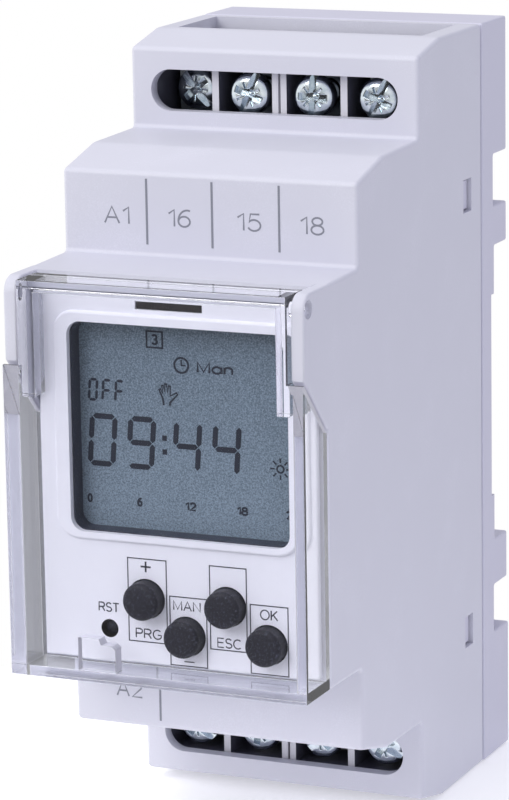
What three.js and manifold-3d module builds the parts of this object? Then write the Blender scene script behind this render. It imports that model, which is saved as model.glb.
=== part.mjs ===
// DIN rail time switch, two modules wide. Millimetres, +Z up.
// The front faces -Y and +X is to the right.
// The origin is the middle of the seat that bears on the 35 mm mounting rail.
import * as THREE from 'three';
import { mergeVertices } from 'three/addons/utils/BufferGeometryUtils.js';
import Module from 'manifold-3d';

const wasm = await Module();
wasm.setup();

// overall size
const halfWidth = 17.8;
const halfHeight = 45;
const wall = 1.6;
const gap = 0.3;

// depths along Y, from the rail seat at zero
const coverFront = -59.3;
const cheekFront = -58.7;
const panelFront = -53.7;
const bodyFront = -52.5;
const labelFace = -43.3;
const labelSlopeBack = -35.7;
const terminalFace = -24.8;
const chamferBack = -18;
const housingRear = -4.3;
const blockRear = 4.7;

// heights above the middle
const chamferTop = 43.55;
const terminalFoot = 34.2;
const labelTop = 32.1;
const shoulder = 22.5;
const cheekFoot = 13.2;
const notchFoot = 6.6;

// terminals
const poleX = [-12, -4, 4, 12];
const deepPole = -12;
const screwFront = -22.8;
const screwSunk = 3;
const headRadius = 2.5;
const headDepth = 1.8;
const shankRadius = 1.45;
const screwLength = 7.05;
const screwHeight = 38.2;
const slotAngles = [0.87, -1.19, -1.54, -1.13, 0.7, 0.15, -0.8, 0.5];

// hinge of the clear cover
const hingeY = -57.5;
const hingeZ = 20.8;
const hingeHole = 1.05;
const hingePin = 0.95;

// front controls, each with its place on the panel
const keys = [
  { name: 'prg', x: -3.4, z: -13.65 },
  { name: 'man', x: 1.45, z: -17.5 },
  { name: 'esc', x: 6.4, z: -13.65 },
  { name: 'ok', x: 11.25, z: -17.5 },
];
const resetKey = { name: 'reset', x: -7.95, z: -17.45 };
const keyRadius = 2.12;
const keyProud = 2.05;

// display window in the panel
const windowBox = { x0: -12.2, x1: 14.1, z0: -6.5, z1: 17.2 };

// boards
const boardThickness = 1.6;
const displayBoardFront = -45.6;
const powerBoardFront = -8.7;

// ---------- solids ----------

function solidOf(geometry) {
  const bare = geometry.clone();
  bare.deleteAttribute('normal');
  if (bare.attributes.uv) bare.deleteAttribute('uv');
  const merged = mergeVertices(bare, 1e-4);
  const mesh = new wasm.Mesh({
    numProp: 3,
    vertProperties: new Float32Array(merged.attributes.position.array),
    triVerts: new Uint32Array(merged.index.array),
  });
  return new wasm.Manifold(mesh);
}

function geometryOf(solid) {
  const mesh = solid.getMesh();
  const geometry = new THREE.BufferGeometry();
  geometry.setAttribute('position', new THREE.BufferAttribute(mesh.vertProperties, 3));
  geometry.setIndex(new THREE.BufferAttribute(mesh.triVerts, 1));
  geometry.computeVertexNormals();
  return geometry;
}

function block(x0, x1, y0, y1, z0, z1) {
  const geometry = new THREE.BoxGeometry(x1 - x0, y1 - y0, z1 - z0);
  geometry.translate((x0 + x1) / 2, (y0 + y1) / 2, (z0 + z1) / 2);
  return solidOf(geometry);
}

function shapeOf(points) {
  return new THREE.Shape(points.map(([a, b]) => new THREE.Vector2(a, b)));
}

function prism(shape, length) {
  return new THREE.ExtrudeGeometry(shape, { depth: length, bevelEnabled: false, curveSegments: 8 });
}

// a (y, z) outline pushed along X
function sideways(points, x0, x1) {
  const geometry = prism(shapeOf(points), x1 - x0);
  geometry.applyMatrix4(new THREE.Matrix4().makeBasis(
    new THREE.Vector3(0, 1, 0),
    new THREE.Vector3(0, 0, 1),
    new THREE.Vector3(1, 0, 0),
  ));
  geometry.translate(x0, 0, 0);
  return solidOf(geometry);
}

// an (x, z) shape pushed along Y
function backwards(shape, y0, y1) {
  const geometry = prism(shape, y1 - y0);
  geometry.rotateX(Math.PI / 2);
  geometry.translate(0, y1, 0);
  return solidOf(geometry);
}

function rod(axis, a, b, radius, from, to, sides = 24) {
  const geometry = new THREE.CylinderGeometry(radius, radius, to - from, sides);
  const middle = (from + to) / 2;
  if (axis === 'x') {
    geometry.rotateZ(Math.PI / 2);
    geometry.translate(middle, a, b);
  } else if (axis === 'y') {
    geometry.translate(a, middle, b);
  } else {
    geometry.rotateX(Math.PI / 2);
    geometry.translate(a, b, middle);
  }
  return solidOf(geometry);
}

function roundedRectangle(x0, x1, z0, z1, radius) {
  const shape = new THREE.Shape();
  shape.moveTo(x0 + radius, z0);
  shape.lineTo(x1 - radius, z0);
  shape.absarc(x1 - radius, z0 + radius, radius, -Math.PI / 2, 0);
  shape.lineTo(x1, z1 - radius);
  shape.absarc(x1 - radius, z1 - radius, radius, 0, Math.PI / 2);
  shape.lineTo(x0 + radius, z1);
  shape.absarc(x0 + radius, z1 - radius, radius, Math.PI / 2, Math.PI);
  shape.lineTo(x0, z0 + radius);
  shape.absarc(x0 + radius, z0 + radius, radius, Math.PI, 1.5 * Math.PI);
  return shape;
}

function joined(solids) {
  return solids.reduce((sum, next) => sum.add(next));
}

function without(solid, cuts) {
  return cuts.reduce((rest, cut) => rest.subtract(cut), solid);
}

function upsideDown(solid) {
  return solid.scale([1, 1, -1]);
}

function bothHeights(solid) {
  return [solid, upsideDown(solid)];
}

function bothSides(solid) {
  return [solid, solid.scale([-1, 1, 1])];
}

// mirror an upper half outline, rear to front, into the whole closed outline
function mirroredOutline(upper) {
  const lower = upper.map(([y, z]) => [y, -z]).reverse();
  return [...upper, ...lower].reverse();
}

// ---------- parts list ----------

const timer = new THREE.Group();

const finishes = {
  housing: { color: 0xd2d3df, roughness: 0.55, metalness: 0 },
  base: { color: 0xc9c9dc, roughness: 0.55, metalness: 0 },
  panel: { color: 0xd9d9de, roughness: 0.5, metalness: 0 },
  clear: { color: 0xeceef4, roughness: 0.1, metalness: 0, transparent: true, opacity: 0.35 },
  key: { color: 0x1f1f26, roughness: 0.8, metalness: 0 },
  clip: { color: 0xbfc0cc, roughness: 0.5, metalness: 0 },
  steel: { color: 0xc4ccd2, roughness: 0.25, metalness: 1 },
  brass: { color: 0xb79a55, roughness: 0.35, metalness: 1 },
  display: { color: 0x7d9096, roughness: 0.25, metalness: 0 },
  frame: { color: 0xf0f0ee, roughness: 0.5, metalness: 0 },
  strip: { color: 0xc98f8a, roughness: 0.7, metalness: 0 },
  board: { color: 0x1f5b38, roughness: 0.45, metalness: 0 },
  chip: { color: 0x23242a, roughness: 0.5, metalness: 0 },
  film: { color: 0xd8b62c, roughness: 0.5, metalness: 0 },
  relay: { color: 0x2c3f78, roughness: 0.45, metalness: 0 },
  disc: { color: 0x2f62a8, roughness: 0.5, metalness: 0 },
};

function addPart(name, solid, finish, place = [0, 0, 0], turnY = 0) {
  const material = new THREE.MeshStandardMaterial(finishes[finish]);
  const mesh = new THREE.Mesh(geometryOf(solid), material);
  mesh.name = name;
  mesh.position.set(...place);
  mesh.rotation.y = turnY;
  timer.add(mesh);
}

// ---------- front housing ----------

const outerOutline = mirroredOutline([
  [housingRear, halfHeight],
  [chamferBack, halfHeight],
  [terminalFace, chamferTop],
  [terminalFace, terminalFoot],
  [labelSlopeBack, terminalFoot - 0.2],
  [labelFace, labelTop],
  [labelFace, shoulder + 0.2],
  [bodyFront, shoulder],
]);

const innerOutline = mirroredOutline([
  [housingRear + wall, halfHeight - wall],
  [chamferBack, halfHeight - wall],
  [terminalFace + wall, chamferTop - wall],
  [terminalFace + wall, terminalFoot - wall],
  [labelSlopeBack, terminalFoot - 0.2 - wall],
  [labelFace + wall, labelTop - wall],
  [labelFace + wall, shoulder - wall],
  [bodyFront + wall, shoulder - wall],
]);

const cheekInner = halfWidth - wall;
const snapWindows = [[23.5, 27.4], [-29.1, -25.3]];
const snapWindowY = [-10.5, -7.8];
const frontOpening = { half: 14.9, z0: -19.9, z1: 19.6 };
const wireSlot = { half: 15.3, y0: -17, y1: -6 };
const lipFoot = 20.9;
const terminalWindow = roundedRectangle(-15.3, 15.3, 36.25, 41.07, 2.4);

function cheek() {
  const corner = 1.9;
  const outline = [
    [bodyFront + 1, shoulder],
    [bodyFront + 1, notchFoot],
    [bodyFront + 0.1, notchFoot],
    [cheekFront, cheekFoot],
  ];
  for (let step = 0; step <= 6; step += 1) {
    const angle = Math.PI - (step / 6) * (Math.PI / 2);
    const y = cheekFront + corner + corner * Math.cos(angle);
    outline.push([y, shoulder - corner + corner * Math.sin(angle)]);
  }
  const plate = sideways(outline.reverse(), cheekInner, halfWidth);
  return plate.subtract(rod('x', hingeY, hingeZ, hingeHole, cheekInner - 1, halfWidth + 1));
}

function frontHousing() {
  const shell = sideways(outerOutline, -halfWidth, halfWidth)
    .subtract(sideways(innerOutline, -cheekInner, cheekInner));
  const lipHalf = cheekInner + 0.2;
  const lip = block(-lipHalf, lipHalf, bodyFront - 1.1, bodyFront + 1, lipFoot, shoulder);
  const { half, z0: openingFoot, z1: openingTop } = frontOpening;
  const slot = wireSlot;
  const cuts = [
    block(-half, half, bodyFront - 1, bodyFront + 3, openingFoot, openingTop),
    ...bothHeights(backwards(terminalWindow, terminalFace - 1, terminalFace + 3)),
    ...bothHeights(block(-slot.half, slot.half, slot.y0, slot.y1, halfHeight - 3, halfHeight + 1)),
  ];
  for (const [z0, z1] of snapWindows) {
    cuts.push(...bothSides(block(cheekInner - 1, halfWidth + 1, ...snapWindowY, z0, z1)));
  }
  return joined([without(shell, cuts), lip, ...bothSides(cheek())]);
}

addPart('front_housing', frontHousing(), 'housing');

// ---------- rear base with the rail recess ----------

const railHalf = 18;
const seatRelief = -1.15;
const hookBack = 4.2;
const clipChannel = { wide: 9.1, narrow: 7.3, floor: 0.9, step: 2.7 };
const backHalf = 15.8;
const gripUpper = { low: 22.8, high: 29, floor: -0.3 };
const gripLower = { low: -29.6, high: -23.8, floor: -0.3 };
const seatPadHalf = 4;
const hook = { half: 12, front: 1.5, low: 16.3 };
const post = { half: 1.9, back: 3.6, low: -36, high: -34.5 };

function rearBase() {
  const front = housingRear + gap;
  const middle = sideways([
    [front, halfHeight], [front, -halfHeight], [blockRear, -halfHeight],
    [blockRear, -railHalf], [0, -railHalf], [0, railHalf],
    [hookBack, railHalf], [hookBack, halfHeight],
  ], -backHalf, backHalf);
  const edge = sideways([
    [front, halfHeight], [front, -halfHeight], [blockRear, -halfHeight],
    [blockRear, gripLower.low], [gripLower.floor, gripLower.low],
    [gripLower.floor, gripLower.high], [hookBack, gripLower.high],
    [hookBack, -railHalf - 1.4], [hookBack - 0.7, -railHalf], [0, -railHalf], [0, railHalf],
    [hookBack, railHalf], [hookBack, gripUpper.low], [gripUpper.floor, gripUpper.low],
    [gripUpper.floor, gripUpper.high], [hookBack, gripUpper.high], [hookBack, halfHeight],
  ], backHalf, halfWidth);
  const inside = sideways([
    [front - 1, 43.4], [front - 1, -43.4], [-0.8, -43.4], [-0.8, -19.6],
    [-1.6, -19.6], [-1.6, -13.8], [-2.75, -13.8], [-2.75, 13.8],
    [-1.6, 13.8], [-1.6, 19.7], [2.6, 19.7], [2.6, 43.4],
  ], -14.2, 14.2);
  const pad = seatPadHalf;
  const seatPad = block(-pad, pad, seatRelief - 0.5, 0, -pad, pad);
  const relief = block(-20, 20, seatRelief, 1, -12.5, 12.2).subtract(seatPad);
  const railHook = block(-hook.half, hook.half, hook.front, hookBack, hook.low, railHalf + 1);
  const { wide, narrow, floor, step } = clipChannel;
  const channel = block(-wide, wide, floor, step, -halfHeight - 1, -railHalf + 1);
  const slot = block(-narrow, narrow, floor, blockRear + 1, -halfHeight - 1, -railHalf + 1);
  const springPost = block(-post.half, post.half, floor - 0.5, post.back, post.low, post.high);
  const shell = without(joined([middle, ...bothSides(edge)]), [
    inside, channel, slot, relief,
  ]);
  const parts = [shell, railHook, springPost];
  for (const [z0, z1] of snapWindows) {
    const tongue = block(14.6, 15.9, snapWindowY[0] - 0.7, front + 1, z0 + gap, z1 - gap);
    const barb = block(15.5, 17.3, snapWindowY[0] + gap, snapWindowY[1] - gap, z0 + gap, z1 - gap);
    parts.push(...bothSides(tongue), ...bothSides(barb));
  }
  return joined(parts);
}

addPart('rear_base', rearBase(), 'base');

// ---------- sprung clip that grips the lower rail edge ----------

const clip = { half: 7, front: 1.2, back: 4.2, foot: -44.3, shoulder: -19.5, tip: -16.3 };
const runner = { half: 8.8, back: 2.4, foot: -43.9, top: -18.5 };

function dinClip() {
  const nose = sideways([
    [clip.front, clip.shoulder - 0.5], [clip.back, clip.shoulder - 0.5], [clip.back, clip.tip - 0.8],
    [clip.back - 1, clip.tip], [clip.front + 0.2, clip.tip], [clip.front, clip.tip - 0.3],
  ], -clip.half, clip.half);
  const body = block(-clip.half, clip.half, clip.front, clip.back, clip.foot, clip.shoulder);
  const runners = block(-runner.half, runner.half, clip.front, runner.back, runner.foot, runner.top);
  const springRoom = block(-2.2, 2.2, 0, 6, -40.3, -24.8);
  const toolSlot = block(-2.5, 2.5, 0, 6, -42.9, -41.5);
  return without(joined([nose, body, runners]), [springRoom, toolSlot]);
}

addPart('din_clip', dinClip(), 'clip');

class Helix extends THREE.Curve {
  constructor(radius, low, high, turns, centreY) {
    super();
    Object.assign(this, { radius, low, high, turns, centreY });
  }

  getPoint(t) {
    const angle = 2 * Math.PI * this.turns * t;
    const z = this.low + (this.high - this.low) * t;
    const [x, y] = [this.radius * Math.cos(angle), this.radius * Math.sin(angle)];
    return new THREE.Vector3(x, this.centreY + y, z);
  }
}

const coil = { radius: 1.2, wire: 0.22, turns: 6, low: -34, high: -25.3, centreY: 2.6 };

function clipSpring() {
  const section = new THREE.Shape();
  section.absarc(0, 0, coil.wire, 0, 2 * Math.PI);
  const path = new Helix(coil.radius, coil.low, coil.high, coil.turns, coil.centreY);
  const steps = coil.turns * 10;
  const settings = { steps, extrudePath: path, bevelEnabled: false, curveSegments: 3 };
  return solidOf(new THREE.ExtrudeGeometry(section, settings));
}

addPart('clip_spring', clipSpring(), 'steel');

// ---------- front panel ----------

const panelFoot = -21.1;
const panelTop = 20.6;
const bezelProud = 0.4;
const resetHole = 1.05;

function panel() {
  const { x0, x1, z0, z1 } = windowBox;
  const half = cheekInner - gap;
  const plugHalf = frontOpening.half - gap;
  const [plugFoot, plugTop] = [frontOpening.z0 + gap, frontOpening.z1 - gap];
  const plate = block(-half, half, panelFront, bodyFront - gap, panelFoot, panelTop);
  const plug = block(-plugHalf, plugHalf, bodyFront - 0.5, bodyFront + 0.6, plugFoot, plugTop);
  const rim = roundedRectangle(x0 - 1.8, x1 + 1.1, z0 - 0.9, z1 + 1.2, 2.6);
  const bezel = backwards(rim, panelFront - bezelProud, panelFront + 0.3);
  const [from, to] = [panelFront - 2, panelFront + 4];
  const cuts = [
    backwards(roundedRectangle(x0, x1, z0, z1, 1.6), from, to),
    block(-4, 4, from, to, 18.9, 19.8),
    rod('y', resetKey.x, resetKey.z, resetHole, from, to),
  ];
  for (const key of keys) cuts.push(rod('y', key.x, key.z, keyRadius + 0.15, from, to));
  return without(joined([plate, plug, bezel]), cuts);
}

addPart('front_panel', panel(), 'panel');

// ---------- clear hinged cover ----------

const cover = { skin: 1.5, footWall: 0.9, half: 22.3, headFoot: 20.9 };
const pullTab = { x0: -9.9, x1: -5.4, back: -56.2, z0: -21.5, z1: -17.6 };

function clearCover() {
  const { skin, half } = cover;
  const upperHalf = cheekInner - gap;
  const plateBack = coverFront + skin;
  const coverBack = bodyFront - gap;
  const wing = sideways([
    [coverFront, -half], [coverBack, -half], [coverBack, notchFoot - 0.2],
    [cheekFront - 0.2, cheekFoot - 0.4], [coverFront, cheekFoot - 0.4],
  ], halfWidth - skin, halfWidth);
  const ear = block(upperHalf - skin, upperHalf, coverFront, hingeY + 2.3, cheekFoot - 4, half);
  const pin = rod('x', hingeY, hingeZ, hingePin, upperHalf - 0.5, halfWidth - 0.8);
  const pull = block(pullTab.x0, pullTab.x1, plateBack - 0.5, pullTab.back, pullTab.z0, pullTab.z1)
    .subtract(rod('x', pullTab.back - 0.7, -19.2, 0.5, pullTab.x0 - 1, pullTab.x1 + 1, 12));
  return joined([
    block(-halfWidth, halfWidth, coverFront, plateBack, -half, cheekFoot - 1.6),
    block(-upperHalf, upperHalf, coverFront, plateBack, cheekFoot - 2, half),
    block(-halfWidth, halfWidth, coverFront, coverBack, -half, cover.footWall - half),
    block(-upperHalf, upperHalf, coverFront, hingeY + 3, cover.headFoot, half),
    ...bothSides(wing),
    ...bothSides(ear),
    ...bothSides(pin),
    pull,
  ]);
}

addPart('clear_cover', clearCover(), 'clear');

// ---------- keys and their switches ----------

const keyEdge = 0.4;
const keyFlange = { radius: 2.6, from: 5.15, to: 5.95 };
const keyStem = { radius: 1.2, end: 7.25 };
const resetShank = 0.8;
const resetFlange = { radius: 1.6, from: 2.5, to: 3.3 };
const resetEnd = 4.6;

function turned(rows, sides) {
  return solidOf(new THREE.LatheGeometry(rows.map(([r, y]) => new THREE.Vector2(r, y)), sides));
}

function keyCap() {
  const profile = [[0, 0]];
  for (let step = 0; step <= 3; step += 1) {
    const angle = (step / 3) * (Math.PI / 2);
    profile.push([keyRadius - keyEdge * (1 - Math.sin(angle)), keyEdge * (1 - Math.cos(angle))]);
  }
  const { radius, from, to } = keyFlange;
  profile.push([keyRadius, from], [radius, from], [radius, to]);
  profile.push([keyStem.radius, to], [keyStem.radius, keyStem.end], [0, keyStem.end]);
  return turned(profile, 24);
}

function resetPin() {
  const { radius, from, to } = resetFlange;
  const profile = [[0, 0], [resetShank, 0], [resetShank, from], [radius, from], [radius, to]];
  profile.push([resetShank, to], [resetShank, resetEnd], [0, resetEnd]);
  return turned(profile, 16);
}

const switchHalf = 2.1;

function tactSwitch() {
  const body = block(-switchHalf, switchHalf, -1.8, -gap, -switchHalf, switchHalf);
  return body.add(rod('y', 0, 0, 0.8, -2.3, -1, 12));
}

for (const key of keys) {
  addPart(`button_${key.name}`, keyCap(), 'key', [key.x, panelFront - keyProud, key.z]);
  addPart(`switch_${key.name}`, tactSwitch(), 'chip', [key.x, displayBoardFront, key.z]);
}
addPart('button_reset', resetPin(), 'key', [resetKey.x, panelFront + 0.6, resetKey.z]);
addPart('switch_reset', tactSwitch(), 'chip', [resetKey.x, displayBoardFront, resetKey.z]);

// ---------- display ----------

const glassFront = panelFront + 2.4;
const glassBack = glassFront + 2.2;
addPart('lcd_glass', block(-13.4, 14.6, glassFront, glassBack, -7, 18.5), 'display');

const frameY = [glassBack + gap, displayBoardFront - gap];
const roomX = [-13, 14.4];
const stripHeights = { upper: [16.2, 17.8], lower: [-6.6, -5] };

function lcdFrame() {
  const through = [frameY[0] - 1, frameY[1] + 1];
  const cuts = [block(...roomX, ...through, -3.6, 14.8)];
  for (const [z0, z1] of Object.values(stripHeights)) {
    cuts.push(block(...roomX, ...through, z0 - gap, z1 + gap));
  }
  return without(block(-15.2, 15.6, ...frameY, -9.6, 19.4), cuts);
}

addPart('lcd_frame', lcdFrame(), 'frame');
for (const [level, heights] of Object.entries(stripHeights)) {
  const strip = block(roomX[0] + gap, roomX[1] - gap, ...frameY, ...heights);
  addPart(`contact_strip_${level}`, strip, 'strip');
}

const displayBoard = { half: 15.8, halfTall: 20.5 };
const displayBoardBack = displayBoardFront + boardThickness;
addPart('display_board', block(
  -displayBoard.half, displayBoard.half, displayBoardFront, displayBoardBack,
  -displayBoard.halfTall, displayBoard.halfTall,
), 'board');

const chipFront = displayBoardBack + gap;
addPart('microcontroller', block(-9, 1, chipFront, chipFront + 1.4, 7, 17), 'chip');

// the cell lies in a shallow cup on the back of the display board
const cell = { x: 4.5, z: -9, radius: 10, thickness: 3.2 };
const cup = { wall: 1, floor: 0.8, depth: 3.2 };

function cellRod(radius, from, to) {
  return rod('y', cell.x, cell.z, radius, from, to, 36);
}

function cellHolder() {
  const room = cell.radius + gap;
  const floor = chipFront + cup.floor;
  return cellRod(room + cup.wall, chipFront, chipFront + cup.depth)
    .subtract(cellRod(room, floor, chipFront + cup.depth + 1));
}

addPart('cell_holder', cellHolder(), 'chip');
const cellFront = chipFront + cup.floor + gap;
addPart('backup_cell', cellRod(cell.radius, cellFront, cellFront + cell.thickness), 'steel');

// ---------- power board and what it carries ----------

const powerBoard = { half: 14, halfTall: 31.2 };
addPart('power_board', block(
  -powerBoard.half, powerBoard.half, powerBoardFront, powerBoardFront + boardThickness,
  -powerBoard.halfTall, powerBoard.halfTall,
), 'board');
const onPower = powerBoardFront - gap;
const relaySize = { wide: 12.7, deep: 15.7, tall: 29 };
const capDepth = 12;
addPart('riser_board', block(-13.4, boardThickness - 13.4, chipFront, onPower, -12, 4), 'board');
addPart('relay', block(
  1, 1 + relaySize.wide, onPower - relaySize.deep, onPower, -relaySize.tall / 2, relaySize.tall / 2,
), 'relay');
addPart('film_capacitor', block(-10.5, -4.5, onPower - capDepth, onPower, 9, 27), 'film');
addPart('smoothing_capacitor', rod('y', -6, -5.5, 4, onPower - capDepth, onPower), 'chip');
addPart('varistor', rod('x', onPower - 5, -22, 4.6, -9, -5), 'disc');

// ---------- terminals ----------

const blockY = [terminalFace + wall + gap, -7.8];
const nutFront = -17.7;
const nutBack = -15.7;
const wireFloor = -10.2;
const frameHalf = 2.8;
const frameZ = [34.2, 41];
const blockZ = [31.5, 43.1];
const blockX = [-15.9, -0.15];
const chambers = { x: [[-15.4, -8.42], [-7.58, -0.9]], rear: -8.6, z: [33.4, 41.3] };
const wireHalf = 2.6;
const tailHalf = 1;

// a two-pole block left of the middle, upper row
function terminalBlock() {
  const [front, rear] = blockY;
  const [foot, top] = blockZ;
  const body = sideways([
    [front, foot], [rear, foot], [rear, top], [chamferBack - 0.2, top], [front, top - 1.35],
  ], ...blockX);
  const cuts = chambers.x.map((span) => block(...span, front - 1, chambers.rear, ...chambers.z));
  for (const x of poleX.slice(0, 2)) {
    const tailRoom = tailHalf + gap;
    cuts.push(block(x - wireHalf, x + wireHalf, -14.9, -9.6, top - 2.1, top + 1));
    cuts.push(block(x - tailRoom, x + tailRoom, wireFloor - gap, -8.65, foot - 0.5, foot + 2.5));
  }
  return without(body, cuts);
}

function terminalFrame() {
  const sheet = 0.6;
  const floorBack = wireFloor + 2 * sheet;
  const body = block(-frameHalf, frameHalf, nutFront, floorBack, ...frameZ);
  const tail = block(-tailHalf, tailHalf, wireFloor, floorBack, 28.6, frameZ[0] + 0.8);
  const inside = block(sheet - frameHalf, frameHalf - sheet, nutBack, wireFloor, 30, 45);
  const thread = rod('y', 0, screwHeight, shankRadius + 0.2, nutFront - 1, nutBack + 1, 16);
  return without(body, [inside, thread]).add(tail);
}

const plate = { half: 1.9, thickness: 0.8, z: [35.4, 40.9] };

function clampPlate() {
  const front = screwFront + screwLength + gap + 0.05;
  return block(-plate.half, plate.half, front, front + plate.thickness, ...plate.z);
}

const slotHalf = 0.4;
const slotDepth = 1;
const crossHalf = 1.6;

function terminalScrew() {
  const edge = 0.35;
  const profile = [[0, 0], [headRadius - edge, 0], [headRadius, edge], [headRadius, headDepth]];
  profile.push([shankRadius, headDepth], [shankRadius, screwLength], [0, screwLength]);
  const slot = block(-headRadius - 1, headRadius + 1, -1, slotDepth, -slotHalf, slotHalf);
  const cross = block(-slotHalf, slotHalf, -1, slotDepth + 0.1, -crossHalf, crossHalf);
  return without(turned(profile, 20), [slot, cross]);
}

const rowSigns = { upper: 1, lower: -1 };
const upperBlock = terminalBlock();
let angleIndex = 0;
for (const [row, sign] of Object.entries(rowSigns)) {
  const place = (solid) => (sign > 0 ? solid : upsideDown(solid));
  addPart(`terminal_block_${row}_left`, place(upperBlock), 'frame');
  addPart(`terminal_block_${row}_right`, place(upperBlock.scale([-1, 1, 1])), 'frame');
  poleX.forEach((x, index) => {
    const sunk = row === 'upper' && x === deepPole ? screwSunk : 0;
    const tag = `${row}_${index + 1}`;
    addPart(`terminal_frame_${tag}`, place(terminalFrame()), 'steel', [x, 0, 0]);
    addPart(`clamp_plate_${tag}`, place(clampPlate()), 'steel', [x, sunk, 0]);
    const screwPlace = [x, screwFront + sunk, sign * screwHeight];
    addPart(`terminal_screw_${tag}`, terminalScrew(), 'steel', screwPlace, slotAngles[angleIndex]);
    angleIndex += 1;
  });
}

export default timer;
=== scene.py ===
import bpy
import math
from mathutils import Matrix, Vector


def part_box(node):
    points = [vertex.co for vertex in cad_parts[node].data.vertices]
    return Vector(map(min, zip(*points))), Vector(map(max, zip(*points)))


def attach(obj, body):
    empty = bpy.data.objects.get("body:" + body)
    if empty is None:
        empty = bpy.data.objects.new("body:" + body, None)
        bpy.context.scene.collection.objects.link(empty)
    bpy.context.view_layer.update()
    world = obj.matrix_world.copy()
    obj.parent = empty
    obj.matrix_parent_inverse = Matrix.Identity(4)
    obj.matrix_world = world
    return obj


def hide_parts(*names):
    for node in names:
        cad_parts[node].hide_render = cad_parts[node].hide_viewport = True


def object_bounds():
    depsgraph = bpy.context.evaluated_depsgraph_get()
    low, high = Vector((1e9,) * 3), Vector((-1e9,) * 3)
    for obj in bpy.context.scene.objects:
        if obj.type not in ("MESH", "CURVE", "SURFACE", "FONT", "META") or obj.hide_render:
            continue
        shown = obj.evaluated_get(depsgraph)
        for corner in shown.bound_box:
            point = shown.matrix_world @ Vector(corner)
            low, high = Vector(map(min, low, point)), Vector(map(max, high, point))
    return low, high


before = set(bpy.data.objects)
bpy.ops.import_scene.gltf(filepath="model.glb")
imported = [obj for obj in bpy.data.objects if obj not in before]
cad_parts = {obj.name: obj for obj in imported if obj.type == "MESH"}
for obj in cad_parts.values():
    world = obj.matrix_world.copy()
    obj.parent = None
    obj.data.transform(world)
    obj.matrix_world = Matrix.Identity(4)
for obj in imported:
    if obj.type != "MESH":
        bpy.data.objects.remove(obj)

cadLow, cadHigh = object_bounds()
mm = 0.001
print("frame loaded:", len(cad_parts), "nodes")


# ---- small helpers ----

def nodeBox(name):  # a CAD node's corners in millimetres
    low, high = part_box(name)
    return low / mm, high / mm


def pick(*pieces):
    for other in list(bpy.context.selected_objects):
        other.select_set(False)
    for piece in pieces:
        piece.select_set(True)
    bpy.context.view_layer.objects.active = pieces[0]


def settle(piece, name):  # the place goes into the mesh, the object stays at the origin
    pick(piece)
    bpy.ops.object.transform_apply(location=True, rotation=True, scale=True)
    piece.name = name
    return piece


def addBox(name, low, high):
    low, high = Vector(low) * mm, Vector(high) * mm
    bpy.ops.mesh.primitive_cube_add(size=1, location=(low + high) / 2, scale=high - low)
    return settle(bpy.context.object, name)


def addRod(name, axis, centre, radius, start, end, sides=48):
    turns = {"x": (0, math.pi / 2, 0), "y": (math.pi / 2, 0, 0), "z": (0, 0, 0)}
    place = list(centre)
    place.insert("xyz".index(axis), (start + end) / 2)
    bpy.ops.mesh.primitive_cylinder_add(vertices=sides, radius=radius * mm, depth=(end - start) * mm,
                                        location=Vector(place) * mm, rotation=turns[axis])
    return settle(bpy.context.object, name)


def addOutline(name, corners, axis, start, end):  # a flat outline pushed along one axis
    bpy.ops.mesh.primitive_circle_add(vertices=len(corners), radius=1, fill_type="NGON")
    piece = bpy.context.object
    index = "xyz".index(axis)
    for vertex, corner in zip(piece.data.vertices, corners):
        place = list(corner)
        place.insert(index, start)
        vertex.co = Vector(place) * mm
    push = [0, 0, 0]
    push[index] = (end - start) * mm
    bpy.ops.object.mode_set(mode="EDIT")
    bpy.ops.mesh.select_all(action="SELECT")
    bpy.ops.mesh.extrude_region_move(TRANSFORM_OT_translate={"value": push})
    bpy.ops.mesh.select_all(action="SELECT")
    bpy.ops.mesh.normals_make_consistent(inside=False)
    bpy.ops.object.mode_set(mode="OBJECT")
    return settle(piece, name)


def addTurned(name, profile, centre=(0, 0, 0), steps=40):  # (radius, depth) points spun round Y
    bpy.ops.mesh.primitive_circle_add(vertices=len(profile), radius=1, fill_type="NOTHING")
    piece = bpy.context.object
    middle = Vector(centre) * mm
    for vertex, (radius, along) in zip(piece.data.vertices, profile):
        vertex.co = middle + Vector((radius, along, 0)) * mm
    last = len(profile) - 1
    bpy.ops.object.mode_set(mode="EDIT")
    bpy.ops.mesh.select_all(action="DESELECT")
    bpy.ops.object.mode_set(mode="OBJECT")
    for edge in piece.data.edges:  # the edge that lies on the axis goes
        edge.select = set(edge.vertices) == {0, last}
    bpy.ops.object.mode_set(mode="EDIT")
    bpy.ops.mesh.select_mode(type="EDGE")
    bpy.ops.mesh.delete(type="EDGE")
    bpy.ops.mesh.select_all(action="SELECT")
    bpy.ops.mesh.spin(steps=steps, angle=2 * math.pi, center=middle, axis=(0, 1, 0))
    bpy.ops.mesh.select_all(action="SELECT")
    bpy.ops.mesh.remove_doubles(threshold=0.001 * mm)
    bpy.ops.mesh.normals_make_consistent(inside=False)
    bpy.ops.mesh.select_mode(type="VERT")
    bpy.ops.object.mode_set(mode="OBJECT")
    return settle(piece, name)


def applyModifier(piece, modifier):
    pick(piece)
    bpy.ops.object.modifier_apply(modifier=modifier.name)


def combine(piece, operation, tools):
    for tool in tools:
        modifier = piece.modifiers.new("combine", "BOOLEAN")
        modifier.operation = operation
        modifier.solver = "EXACT"
        modifier.object = tool
        applyModifier(piece, modifier)
        bpy.data.objects.remove(tool)
    return piece


def cutAway(piece, *tools):
    return combine(piece, "DIFFERENCE", tools)


def weld(piece, *tools):
    return combine(piece, "UNION", tools)


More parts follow.
